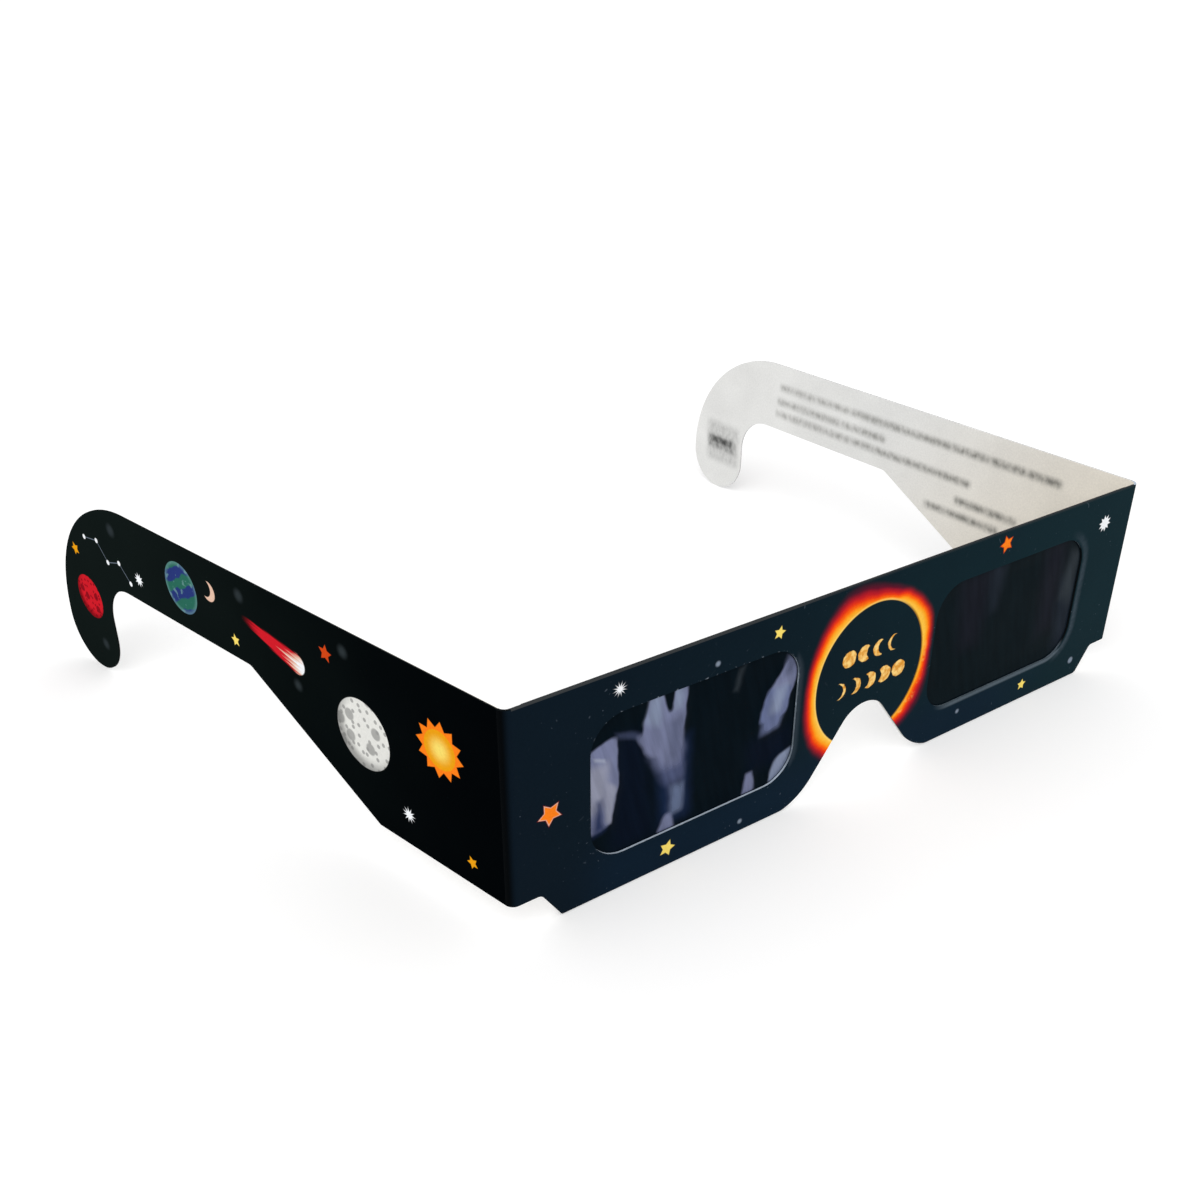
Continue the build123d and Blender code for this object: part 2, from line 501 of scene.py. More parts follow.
def make_corona():
    """The glow round a dark disc: pale and sharp at the disc, then orange, red and out into the card."""
    outputs = {"Glow": "Float", "Colour": "Color", "Disc": "Float"}
    tree, given, result = new_group("corona", {**motif, "Width": 3.2}, outputs)
    seen = use(tree, motif_place, passed_on(given))
    direction = vector_calc(tree, "NORMALIZE", seen["Local"])
    beyond = (seen["Distance"] - 1.0) * given["Radius"]
    reach = given["Width"] * 0.55
    heat = cloud(tree, vector_calc(tree, "ADD", direction, (3.0, 1.0, 2.0)), 2.6, 1.0) * 0.4 - 0.2
    for angle, extra, spread, warmth in flares:
        middle = (cos(radians(angle)), sin(radians(angle)), 0.0)
        away = measure(tree, "DISTANCE", direction, middle) / spread
        near = (away * away * -1.0).do("EXPONENT")
        reach = reach + given["Width"] * near * extra
        heat = heat + near * warmth
    flame_place = vector_calc(tree, "ADD", scaled(tree, direction, 4.0), join(tree, 0.0, 0.0, beyond * 0.2))
    flames = cloud(tree, flame_place, 1.5, 2.0) - 0.5
    step = beyond / reach + flames * 0.16
    colour = colour_ramp(tree, step - heat, *glow_colours)
    across, up = split(tree, direction)[:2]
    shaded = (across - up * 0.3).ramp(-0.1, 0.7)
    flecks = cloud(tree, given["Place"], 0.6, 3.0).ramp(0.52, 0.66, 0.0, 0.7) * (across - up).ramp(0.2, 1.2)
    colour = lay(tree, colour, glow_fleck, flecks * step.fade(0.3, 0.7))
    rim = lay(tree, glow_rim, glow_shade, shaded)
    colour = lay(tree, colour, rim, beyond.ramp(0.05, 0.45, 0.75, 0.0))
    disc = (beyond / blur).fade(-1.5, 1.5)
    return give(tree, result, Glow=step.fade(0.6, 1.25), Colour=colour, Disc=disc)


def make_facet():
    """A four-sided facet of wrinkled film. An edge is its outward normal, with Y how far out it is."""
    inputs = {"Place": here, **{edge: here for edge in facet_sides}, "Rounding": 1.0, "Blur": 0.3}
    tree, given, result = new_group("facet", inputs, {"Mask": "Float"})
    flat = vector_calc(tree, "MULTIPLY_ADD", given["Place"], (1.0, 0.0, 1.0), (0.0, -1.0, 0.0))
    first, *others = [measure(tree, "DOT_PRODUCT", flat, given[edge]) for edge in facet_sides]
    outside = first
    for other in others:
        outside = outside.do("SMOOTH_MAX", other, given["Rounding"])
    return give(tree, result, Mask=(outside / given["Blur"]).fade(-1.0, 1.0))


# Groups that make card and film

def make_paper():
    """Card stock: clouds of tone and fine fibres in a colour, and the fibres as a height."""
    inputs = {"Place": here, "Colour": grey_card, "Clouds": 0.1, "Fibres": 0.1}
    tree, given, result = new_group("paper", inputs, {"Colour": "Color", "Height": "Float"})
    clouds = cloud(tree, given["Place"], 0.09, 3.0) - 0.5
    fibres = cloud(tree, warped(tree, given["Place"], 0.8, 0.8), 2.6, 4.0)
    tone = clouds * given["Clouds"] * 2.0 + (fibres - 0.5) * given["Fibres"] * 2.0 + 1.0
    return give(tree, result, Colour=scaled(tree, given["Colour"], tone), Height=fibres)


def make_card_layers():
    """Which layer of the board shows at a depth: printed face, cut core or bare inside."""
    inputs = {"Place": here, "Board": 0.4, "Face": front_right_ink, "Core": core_card, "Inside": grey_card}
    tree, given, result = new_group("card_layers", inputs, {"Colour": "Color", "Print": "Float"})
    depth = split(tree, given["Place"])[1]
    skin = 0.06
    face = depth.fade(skin, skin * 1.5)
    inside = (given["Board"] - depth).fade(skin, skin * 1.5)
    plies = vector_calc(tree, "MULTIPLY", given["Place"], (1.2, 9.0, 1.2))
    core = scaled(tree, given["Core"], cloud(tree, plies, 1.0, 3.0).ramp(0.25, 0.75, 0.72, 1.1))
    colour = lay(tree, lay(tree, core, given["Inside"], inside), given["Face"], face)
    return give(tree, result, Colour=colour, Print=face)


def make_dust():
    """Faint specks of bare card in a dark ink."""
    tree, given, result = new_group("dust", {"Place": here, "Share": 0.3}, {"Mask": "Float"})
    scattered = warped(tree, join(tree, *on_card(tree, given["Place"])), 0.3, 4.0)
    distance, tint = cells(tree, scattered, 0.8)
    pick, size, tone = split(tree, tint)
    speck = (distance - size * 0.07).fade(0.01, 0.08)
    return give(tree, result, Mask=speck * (given["Share"] - pick).ramp(0.0, 0.02) * tone)


def make_window_gap():
    """How far a place lies outside a rounded window, in millimetres."""
    inputs = {"Place": here, "Across": 0.0, "Width": 40.0, "Height": 25.0, "Corner": 6.0}
    tree, given, result = new_group("window_gap", inputs, {"Gap": "Float"})
    along, up = on_card(tree, given["Place"])
    from_middle = (along.do("ABSOLUTE") - given["Across"]).do("ABSOLUTE")
    past_side = from_middle - given["Width"] * 0.5 + given["Corner"]
    past_top = up.do("ABSOLUTE") - given["Height"] * 0.5 + given["Corner"]
    corner = join(tree, past_side.do("MAXIMUM", 0.0), past_top.do("MAXIMUM", 0.0))
    inner = past_side.do("MAXIMUM", past_top).do("MINIMUM", 0.0)
    return give(tree, result, Gap=measure(tree, "LENGTH", corner) + inner - given["Corner"])


motif_place = make_motif_place()
spot = make_spot()
star = make_star()
stroke = make_stroke()
dashes = make_dashes()
moon = make_moon()
banded_planet = make_banded_planet()
comet = make_comet()
corona = make_corona()
facet = make_facet()
paper = make_paper()
card_layers = make_card_layers()
dust = make_dust()
window_gap = make_window_gap()

# Stars of the front: across, up, radius, points, waist, turn and ink. Rows at one place draw a rim.
front_stars = (
    (-50.8, 16.4, 1.1, 12, 0.4, 0.2, white_ink),
    (-20.9, 15.9, 1.2, 5, 0.5, 1.3, yellow_ink),
    (-41.6, -15.9, 1.55, 5, 0.52, 1.2, yellow_ink),
    (-62.8, 0.0, 2.25, 5, 0.52, 0.82, wine_ink),
    (-62.8, 0.0, 2.05, 5, 0.52, 0.82, rim_ink),
    (-62.8, 0.0, 1.8, 5, 0.54, 0.82, orange_ink),
    (32.0, 16.8, 1.8, 5, 0.52, 1.9, rust_ink),
    (32.0, 16.8, 1.5, 5, 0.52, 1.9, orange_ink),
    (61.0, 13.4, 1.7, 10, 0.6, 0.5, white_ink),
    (44.0, -16.0, 1.2, 5, 0.52, 1.5, yellow_ink),
)
front_dots = ((-33.0, 14.5, 0.42), (-26.7, -17.3, 0.4), (25.5, -15.3, 0.4), (58.9, -15.6, 0.65))

# Eclipse emblem between the windows, and the phases in its disc: how far up each row is, and how
# far the shadow stands from the middle of each phase, in shares of its radius
disc_across = 0.5
disc_up = 1.4
disc_radius = 12.3
disc_squash = 1.085
phase_radius = 1.55
phase_step = 3.5
phase_rows = ((5.8, (1.9, 1.3, 0.8, 0.42)), (0.1, (-0.36, -0.66, -1.0, -1.4, -2.0)))

# Print on the outside of each arm: along from the crease, up from the middle of the front
arm_stars = (
    (20.5, -8.2, 1.35, 11, 0.45, 0.3, white_ink),
    (6.6, -9.8, 1.15, 5, 0.5, 1.1, amber_ink),
    (37.5, 13.6, 1.6, 5, 0.5, 1.7, rust_ink),
    (63.0, 6.4, 1.2, 5, 0.5, 1.4, yellow_ink),
    (93.5, 7.6, 1.4, 10, 0.5, 0.1, white_ink),
    (117.4, 6.6, 1.4, 5, 0.52, 1.2, amber_ink),
)
arm_faint_dots = (
    (33.0, 15.6, 0.9), (60.0, 15.8, 1.0), (46.0, 4.5, 0.8), (101.0, 15.2, 1.1), (113.0, -13.0, 1.0),
)
sun_disc = {"Across": 12.2, "Up": 7.4, "Radius": 3.3}
sun_rays = {**sun_disc, "Radius": 5.0, "Turn": 0.1, "Points": 12, "Waist": 0.74}
crescent_disc = {"Across": 69.4, "Up": 13.4, "Radius": 1.9}
crescent_bite = {"Across": 70.4, "Up": 13.8, "Radius": 1.7}
arm_pictures = (
    (moon, {"Across": 30.0, "Up": 2.2, "Radius": 6.2}),
    (comet, {"Across": 45.5, "Up": 8.6, "Radius": 1.9, "Turn": 0.22, "Tail": 8.0}),
    (banded_planet, {"Across": 78.5, "Up": 11.0, "Radius": 4.9, "Turn": -0.35}),
    (moon, {"Across": 115.4, "Up": -3.2, "Radius": 4.6, "Light": red_ink, "Dark": wine_ink}),
)
constellation = ((97.0, 5.6), (100.2, 8.8), (104.6, 7.6), (107.6, 11.2), (112.4, 10.6))
constellation_dot = 0.5
constellation_line = 0.16

# Rows of soft dashes on the inside of each arm: from, to and up, and what they have in common
inside_rows = (
    (14.0, 94.6, 13.9), (60.0, 95.3, 10.2), (35.5, 95.6, 7.0), (23.0, 39.0, 2.5), (27.0, 47.0, -1.0),
)
inside_row = {"Thickness": 1.6, "Blur": 0.9, "Gaps": 0.35}

# Layers of the dark block inside each hook: from, to, up, thickness, softness and strength
inside_block = (
    (108.8, 121.0, -6.7, 10.8, 1.4, 0.34), (110.2, 120.8, -6.8, 3.6, 0.9, 0.58),
    (111.6, 119.4, -6.3, 1.6, 0.6, 0.85),
)


def crease_point(name, share, up):
    """A point on the outer face of a crease, at a share of the way from the front to the arm."""
    side = sides[name]
    angle = side * share * bends[name] - pi / 2
    across = side * flat_half_width + crease_radius * cos(angle)
    return Vector((across, crease_radius * (1 + sin(angle)), up))


def start_material(name, roughness, specular):
    """A new material, its tree and its shader."""
    material = bpy.data.materials.new(name)
    material.use_nodes = True
    shader = material.node_tree.nodes["Principled BSDF"]
    shader.inputs["Roughness"].default_value = roughness
    shader.inputs["Specular IOR Level"].default_value = specular
    return material, material.node_tree, shader


def card_place(tree, origin=(0.0, 0.0, 0.0), turn=0.0, side=1):
    """The place on the card, in card millimetres, from the piece's own coordinates."""
    coordinates = tree.nodes.new("ShaderNodeTexCoord").outputs["Object"]
    inputs = {0: coordinates, "Location": origin, "Rotation": (0.0, 0.0, turn), "Scale": (mm, side * mm, mm)}
    return add_node(tree, "ShaderNodeMapping", inputs, vector_type="TEXTURE").outputs[0]


def cover(tree, shader, colour, height, rise):
    """Give a shader its colour, and a bump that rises so many metres."""
    connect(tree, colour, shader.inputs["Base Color"])
    bump = add_node(tree, "ShaderNodeBump", {"Height": height, "Distance": rise, "Strength": 1.0})
    tree.links.new(bump.outputs["Normal"], shader.inputs["Normal"])


def lay_paper(tree, shader, place, colour, rise, **amounts):
    """Cover a shader with card stock of a colour, whose fibres rise so many metres."""
    stock = use(tree, paper, Place=place, Colour=colour, **amounts)
    cover(tree, shader, stock["Colour"], stock["Height"], rise)


def from_windows(tree, place, across=0.0):
    """How far a place lies outside the windows, whose middles are so far from the place's own."""
    size = {"Width": window_width / mm, "Height": window_height / mm, "Corner": window_corner / mm}
    return use(tree, window_gap, size, Place=place, Across=across / mm)["Gap"]


def print_stars(tree, place, colour, stars):
    """Stars laid over a colour."""
    for across, up, radius, points, waist, turn, star_ink in stars:
        at = {"Across": across, "Up": up, "Radius": radius, "Turn": turn}
        shape = use(tree, star, at, Place=place, Points=points, Waist=waist)
        colour = lay(tree, colour, star_ink, shape["Mask"])
    return colour


def print_dots(tree, place, colour, dots, dot_ink, softness):
    """Dots of one ink laid over a colour."""
    for across, up, radius in dots:
        shape = use(tree, spot, Place=place, Across=across, Up=up, Radius=radius, Blur=softness)
        colour = lay(tree, colour, dot_ink, shape["Mask"])
    return colour


def print_emblem(tree, place, colour):
    """The glowing ring, its dark disc and two rows of phases in gold."""
    at = {"Across": disc_across, "Up": disc_up, "Radius": disc_radius, "Squash": disc_squash}
    glow = use(tree, corona, at, Place=place)
    lit = lay(tree, colour, glow["Colour"], glow["Glow"])
    colour = lay(tree, lit, colour, glow["Disc"])
    leaf = cloud(tree, place, 0.9, 3.0).ramp(0.35, 0.65)
    gold = lay(tree, old_gold_ink, gold_ink, leaf)
    uneven = warped(tree, place, 1.4, 0.35)
    for row_up, bites in phase_rows:
        for column, bite in enumerate(bites):
            across = disc_across + (column - (len(bites) - 1) / 2) * phase_step
            at = {"Place": uneven, "Up": row_up, "Radius": phase_radius}
            whole = use(tree, spot, at, Across=across)
            shadow = use(tree, spot, at, Across=across + bite * phase_radius)
            colour = lay(tree, colour, gold, whole["Mask"] * (1.0 - shadow["Mask"]))
    return colour


def finish_card(tree, shader, place, face, core, inside):
    """Colour, roughness and fibre of a board that is printed on its face."""
    layers = use(tree, card_layers, Place=place, Board=board / mm, Face=face, Core=core, Inside=inside)
    lay_paper(tree, shader, place, layers["Colour"], print_fibres, Clouds=0.1, Fibres=0.12)
    connect(tree, cut_roughness - layers["Print"] * print_smoothing, shader.inputs["Roughness"])


def navy_ground(tree, place):
    """The front's navy, with painted sheen that makes it lighter and greener towards the wearer's left, and
    bluer towards the fold.
    """
    across, up = on_card(tree, place)
    tone = (across + cloud(tree, place, 0.04) * 40.0).ramp(-60.0, 90.0)
    low = up.ramp(-16.0, -5.0, 0.75, 0.0) * across.ramp(-62.0, -50.0) * across.fade(30.0, 55.0)
    return lay(tree, lay(tree, front_right_ink, front_left_sheen_ink, tone), front_low_ink, low)


def wear_print(tree, place, colour, gap, rough):
    """Print nicked and paler beside the windows' cuts, and pressed grey along the top edge."""
    across, up = on_card(tree, place)
    nicks = cloud(tree, place, 1.1, 4.0).ramp(0.56, 0.66) * across.fade(-10.0, 10.0)
    window_rub = gap.do("ABSOLUTE").ramp(0.05, 0.3, 0.35, 0.0) * up.ramp(10.0, 12.0, 0.15, 1.0)
    colour = lay(tree, colour, core_card, nicks * window_rub)
    pressed = (up - card_top / mm).ramp(-0.34, -0.2) * across.ramp(-20.0, -6.0, 1.0, 0.3)
    colour = lay(tree, colour, pressed_card, pressed)
    outer_side = across.ramp(51.0, 55.0) * up.ramp(2.0, 12.0, 1.0, 0.6) * rough.ramp(0.3, 0.7, 0.75, 1.2)
    outer_glow = gap.ramp(0.0, 0.7) * gap.ramp(0.8, 2.3, 0.14, 0.0) * outer_side
    inner_side = across.ramp(-17.0, -16.2) * across.fade(-1.0, 1.0)
    inner_glow = gap.ramp(0.2, 1.3, 0.09, 0.0) * inner_side
    colour = lay(tree, colour, haze_ink, outer_glow.do("MAXIMUM", inner_glow))
    # Painted shade: the shaded grey of the cut shows just below the bottom of the wearer's left window
    below = gap.ramp(0.4, 0.9, 0.95, 0.0) * up.fade(-12.0, -11.0) * across.ramp(18.0, 24.0)
    return lay(tree, colour, shaded_cut_card, below)


def cut_core(tree, place, gap, rough):
    """The front's board at its cuts: pale at the bottom of the wearer's right window, in painted shade at
    the other cuts, inked at the outer side of the wearer's left window and pressed grey along the top edge.
    """
    across, up = on_card(tree, place)
    # Painted shade: the outline's cuts and the wearer's left window take the shaded grey, and the other
    # window's cuts above its bottom take most of it
    cut_shade = gap.ramp(0.3, 1.0).do("MAXIMUM", across.ramp(0.0, 20.0))
    cut_shade = cut_shade.do("MAXIMUM", up.ramp(-11.8, -8.0, 0.0, 0.7))
    spread = rough.ramp(0.55, 0.7, 0.0, 0.6) * across.ramp(0.0, 20.0, 1.0, 0.2)
    core = lay(tree, core_card, lay(tree, shaded_cut_card, core_card, spread), cut_shade)
    core = lay(tree, core, inked_card, across.ramp(54.0, 55.2))
    return lay(tree, core, pressed_card, (up - card_top / mm).ramp(-0.3, -0.1))


def printed_front():
    """Navy ground with painted sheen, emblem and stars, with board at the cuts that is pale or in painted
    shade.
    """
    material, tree, shader = start_material("printed_front", print_roughness, print_gloss)
    place = card_place(tree)
    specks = use(tree, dust, Place=place, Share=0.22)
    worn = cloud(tree, place, 0.1).ramp(0.42, 0.62, 0.03, 0.3)
    ground = lay(tree, navy_ground(tree, place), haze_ink, specks["Mask"] * worn)
    colour = print_emblem(tree, place, ground)
    colour = print_dots(tree, place, colour, front_dots, haze_ink, 0.25)
    colour = print_stars(tree, place, colour, front_stars)
    gap = from_windows(tree, place, window_across)
    rough = cloud(tree, place, 0.9, 3.0)
    colour = wear_print(tree, place, colour, gap, rough)
    core = cut_core(tree, place, gap, rough)
    below_top = (on_card(tree, place)[1] - card_top / mm).fade(-0.3, -0.1)
    inside = lay(tree, core, grey_card, gap.ramp(0.05, 0.3) * below_top)
    finish_card(tree, shader, place, colour, core, inside)
    return material


def printed_arm(name, side):
    """Black ground with comet, planets and stars outside, and bare card with faint rows inside."""
    material, tree, shader = start_material(f"printed_{name}_arm", print_roughness, 0.0)
    outward = side * bends[name] - pi / 2
    place = card_place(tree, crease_point(name, 1.0, 0.0), outward + side * pi / 2, side)
    along, up = on_card(tree, place)
    tone = (along + cloud(tree, place, 0.05) * 30.0).ramp(10.0, 130.0)
    colour = lay(tree, arm_root_ink, arm_tip_ink, tone)
    colour = print_dots(tree, place, colour, arm_faint_dots, faint_ink, 0.7)

    rays = use(tree, star, sun_rays, Place=place)
    colour = lay(tree, colour, orange_ink, rays["Mask"])
    sun = use(tree, spot, sun_disc, Place=place)
    sun_face = lay(tree, yellow_ink, amber_ink, sun["Distance"].ramp(0.1, 0.9))
    colour = lay(tree, colour, sun_face, sun["Mask"])

    for group, at in arm_pictures:
        drawn = use(tree, group, at, Place=place)
        colour = lay(tree, colour, drawn["Colour"], drawn["Mask"])
    crescent = use(tree, spot, crescent_disc, Place=place)
    bite = use(tree, spot, crescent_bite, Place=place)
    colour = lay(tree, colour, rim_ink, crescent["Mask"] * (1.0 - bite["Mask"]))

    for first, second in zip(constellation, constellation[1:]):
        ends = {"From": (first[0], 0.0, first[1]), "To": (second[0], 0.0, second[1])}
        line = use(tree, stroke, ends, Place=place, Width=constellation_line)
        colour = lay(tree, colour, haze_ink, line["Mask"] * 0.7)
    dots = [(*point, constellation_dot) for point in constellation]
    colour = print_dots(tree, place, colour, dots, white_ink, blur)
    colour = print_stars(tree, place, colour, arm_stars)

    # Painted warm light: the inside turns cream towards the crease and the lower edge
    inside = lay(tree, warm_lit_card, grey_card, (along + up * 0.8).ramp(5.0, 75.0))
    for first, last, row_up in inside_rows:
        row = use(tree, dashes, inside_row, Place=place, From=first, To=last, Up=row_up)
        inside = lay(tree, inside, rule_ink, row["Mask"] * along.ramp(20.0, 90.0, 0.9, 0.6))
    for first, last, row_up, thickness, softness, strength in inside_block:
        at = {"From": first, "To": last, "Up": row_up, "Thickness": thickness, "Blur": softness}
        block = use(tree, dashes, at, Place=place, Gaps=0.0)
        inside = lay(tree, inside, block_ink, block["Mask"] * strength)
    finish_card(tree, shader, place, colour, inked_card if side < 0 else grey_card, inside)
    return material


def plain_flap():
    """Bare card, with the front's ink turned over along its lower edge."""
    material, tree, shader = start_material("plain_flap", bare_roughness, bare_gloss)
    place = card_place(tree)
    up = on_card(tree, place)[1]
    bleed = (up + cloud(tree, place, 0.3, 3.0) * 0.5 - card_bottom / mm).fade(1.5, 1.8)
    stock = use(tree, paper, Place=place, Colour=grey_card, Clouds=0.05, Fibres=0.06)
    colour = lay(tree, stock["Colour"], front_right_ink, bleed)
    colour = lay(tree, colour, inked_card, up.ramp(flap_top / mm - 0.06, flap_top / mm - 0.02))
    cover(tree, shader, colour, stock["Height"], flap_fibres)
    return material


def folded_print():
    """The front's ink over the turn of the fold, cracked here and there along its crest."""
    material, tree, shader = start_material("folded_print", print_roughness, print_gloss)
    place = card_place(tree)
    up = on_card(tree, place)[1]
    cracks = cloud(tree, vector_calc(tree, "MULTIPLY", place, (0.5, 2.0, 2.0)), 2.2, 4.0).ramp(0.6, 0.68)
    crest = (up - card_bottom / mm).ramp(0.0, 0.15, 0.35, 0.0)
    colour = lay(tree, navy_ground(tree, place), core_card, cracks * crest)
    lay_paper(tree, shader, place, colour, print_fibres, Fibres=0.12)
    return material


def crease_faces(name, side):
    """Print outside, bare card inside and core at the ends of a crease. U runs from front to arm."""
    # The left crease's print starts from the front's navy with its painted sheen
    ground = front_left_sheen_ink if side > 0 else front_right_ink
    edge = core_card if side > 0 else inked_card
    size = (crease_radius * bends[name] / mm, 2 * card_top / mm, 1.0)
    faces = {
        "print": (ground, arm_root_ink, print_roughness),
        # The crease's bare inside is painted in the cream of the warm light
        "bare": (warm_lit_card, warm_lit_card, bare_roughness),
        "core": (edge, edge, bare_roughness),
    }
    materials = []
    for label, (front_colour, arm_colour, roughness) in faces.items():
        material, tree, shader = start_material(f"{name}_crease_{label}", roughness, print_gloss)
        surface = tree.nodes.new("ShaderNodeTexCoord").outputs["UV"]
        share = split(tree, surface)[0]
        place = vector_calc(tree, "MULTIPLY", surface, size)
        colour = lay(tree, front_colour, arm_colour, share.ramp(0.1, 0.7))
        lay_paper(tree, shader, place, colour, print_fibres, Clouds=0.06, Fibres=0.12)
        materials.append(material)
    return materials


def dried_glue():
    """Pale, slightly cloudy glue."""
    material, tree, shader = start_material("dried_glue", glue_roughness, glue_gloss)
    lay_paper(tree, shader, card_place(tree), glue_colour, glue_ripples, Clouds=0.3, Fibres=0.1)
    return material


# Facets of each wrinkled film, in the order that they lie on one another, painted with the reflections they
# catch. Each has the tone of its painted reflection, how soft its edges are, and its corners against the
# clock, across and up from the middle of the window.
film_facets = {
    "right": (
        (reflected_navy, 2.1, ((-15.3, 8.3), (-16.3, -12.3), (-7.8, -12.3), (-10.3, 7.2))),
        (reflected_navy, 2.1, ((10.4, -2.8), (10.8, -8.8), (19.7, -8.8), (19.7, -2.3))),
        (reflected_blue, 1.6, ((-7.6, 3.4), (-6.8, -11.3), (-1.3, -11.3), (-1.6, 3.8))),
        (reflected_smoke, 0.5, ((-15.2, 8.9), (-14.9, 8.0), (-11.0, 6.0), (-10.7, 7.3))),
        (reflected_smoke, 0.9, ((-5.8, -1.3), (-5.4, -9.9), (-2.9, -9.7), (-2.1, -1.3))),
        (reflected_dusk, 1.2, ((-9.2, 2.4), (-6.0, -4.0), (-2.8, -4.0), (-2.7, 2.4))),
        (film_gleam, 1.4, ((-9.4, 4.2), (-7.0, -0.6), (-3.6, -0.6), (-3.6, 4.2))),
        (film_gleam, 0.5, ((-11.9, 7.0), (-9.2, 1.9), (-3.0, 1.9), (-3.1, 7.9))),
        (film_gleam, 0.3, ((-9.1, 13.4), (-10.8, 5.8), (-3.0, 4.8), (-2.2, 13.4))),
        (reflected_frost, 0.9, ((-8.7, 14.6), (-9.9, 8.6), (-7.5, 7.4), (-6.9, 14.6))),
        (reflected_frost, 0.8, ((-4.4, 14.6), (-4.8, 9.2), (-3.4, 9.2), (-2.6, 14.6))),
        (reflected_veil, 1.3, ((-5.9, 7.6), (-5.6, 0.2), (-3.5, 0.2), (-3.4, 7.6))),
        (reflected_pool, 0.8, ((-4.9, -4.6), (-5.0, -10.0), (-2.8, -9.8), (-2.5, -4.8))),
        (film_gleam, 0.45, ((-6.3, -9.4), (-7.9, -13.4), (-4.0, -13.4), (-4.8, -9.4))),
        (film_black, 0.3, ((-7.2, 13.6), (-5.9, 9.0), (-5.1, 9.0), (-4.4, 13.6))),
        (film_gleam, 0.3, ((-20.8, 6.7), (-20.8, -3.0), (-14.9, -1.0), (-15.0, 8.9))),
        (film_gleam, 0.4, ((-20.8, 2.0), (-20.8, -7.9), (-16.3, -7.0), (-14.8, 1.5))),
        (reflected_bloom, 1.2, ((-20.4, 4.5), (-20.4, -4.0), (-17.2, -3.6), (-16.6, 4.5))),
        (reflected_bloom, 0.45, ((-17.3, 1.6), (-17.2, -6.4), (-16.2, -6.6), (-15.2, -0.4))),
        (reflected_tide, 1.0, ((-18.7, -1.8), (-19.2, -7.8), (-17.4, -7.4), (-17.8, -1.8))),
        (film_shine, 0.3, ((-19.2, 6.1), (-19.1, 5.5), (-17.1, 4.6), (-17.3, 5.3))),
        (film_gleam, 0.35, ((18.0, 10.6), (13.9, 5.0), (18.3, 2.6), (20.6, 8.8))),
        (reflected_steel, 0.35, ((14.0, 6.0), (12.1, 0.0), (17.9, 0.0), (19.1, 5.4))),
        (reflected_steel, 0.9, ((13.0, 2.2), (12.9, -2.4), (16.8, -2.0), (17.5, 2.2))),
        (reflected_veil, 0.9, ((17.9, 11.4), (16.9, 7.4), (18.9, 7.2), (19.8, 9.6))),
        (reflected_frost, 1.1, ((15.4, 5.8), (14.4, 1.6), (16.4, 1.2), (17.8, 5.6))),
        (reflected_frost, 0.35, ((15.9, -8.1), (15.1, -13.6), (20.8, -13.6), (20.6, -6.7))),
        (film_gleam, 0.4, ((10.3, -8.4), (9.5, -13.6), (12.2, -13.6), (11.5, -8.4))),
        (reflected_mist, 0.8, ((7.8, 11.8), (7.0, 8.4), (7.6, 8.2), (8.6, 11.8))),
    ),
    "left": (
        (reflected_plum, 2.8, ((-14.5, 13.0), (-12.0, -2.0), (-7.0, -2.0), (-5.0, 13.0))),
        (reflected_plum, 2.8, ((9.0, 13.0), (10.5, -6.0), (15.5, -6.0), (15.0, 13.0))),
        (reflected_haze, 2.0, ((-6.5, 14.4), (-4.6, 4.0), (-3.4, 4.0), (-2.2, 14.4))),
        (reflected_haze, 2.4, ((15.6, 4.0), (16.4, -10.5), (20.8, -10.5), (20.8, 4.0))),
        (reflected_mist, 1.8, ((17.2, 9.6), (15.9, 0.6), (19.0, -1.6), (20.2, 9.6))),
    ),
}


def facet_edges(corners):
    """The edges of a facet, each as the facet group takes it."""
    edges = []
    for start, end in zip(corners, corners[1:] + corners[:1]):
        outward = Vector((end[1] - start[1], start[0] - end[0])).normalized()
        edges.append((outward.x, outward.dot(Vector(start)), outward.y))
    return edges


def facet_rounding(corners):
    """How much a facet's corners are rounded: less where the facet is narrow."""
    reaches = []
    for across, offset, up in facet_edges(corners):
        reaches.append(max(offset - across * x - up * z for x, z in corners))
    return min(widest_rounding, 0.4 * min(reaches))


def lens_film(name, side):
    """Black film with painted reflections on its facets, and a painted shadow where the card holds it down.
    """
    material, tree, shader = start_material(f"{name}_lens_film", film_roughness, film_gloss)
    place = card_place(tree, (side * window_across, 0.0, 0.0))
    pulled = warped(tree, place, 0.35, 0.7)
    colour = film_black if side < 0 else film_slate
    # Each facet lays its painted reflection over the film
    for reflection_ink, softness, corners in film_facets[name]:
        edges = dict(zip(facet_sides, facet_edges(corners)))
        soft = {"Rounding": facet_rounding(corners), "Blur": softness}
        colour = lay(tree, colour, reflection_ink, use(tree, facet, edges, soft, Place=pulled)["Mask"])
    # Painted shadow: the film turns black where the card holds its edge
    colour = lay(tree, colour, film_black, from_windows(tree, place).ramp(-0.45, 0.0))
    across, up = on_card(tree, place)
    streaks = cloud(tree, join(tree, across + up * 0.25, 0.0, up * 0.15), 0.7, 3.0)
    colour = scaled(tree, colour, streaks.ramp(0.3, 0.7, 0.84, 1.1))
    tone = Wire(tree, add_node(tree, "ShaderNodeRGBToBW", {0: colour}).outputs[0])
    connect(tree, tone * film_metal, shader.inputs["Metallic"])
    connect(tree, tone + film_roughness, shader.inputs["Roughness"])
    cover(tree, shader, colour, cloud(tree, place, 0.6, 2.0), film_ripples)
    return material


# Pieces

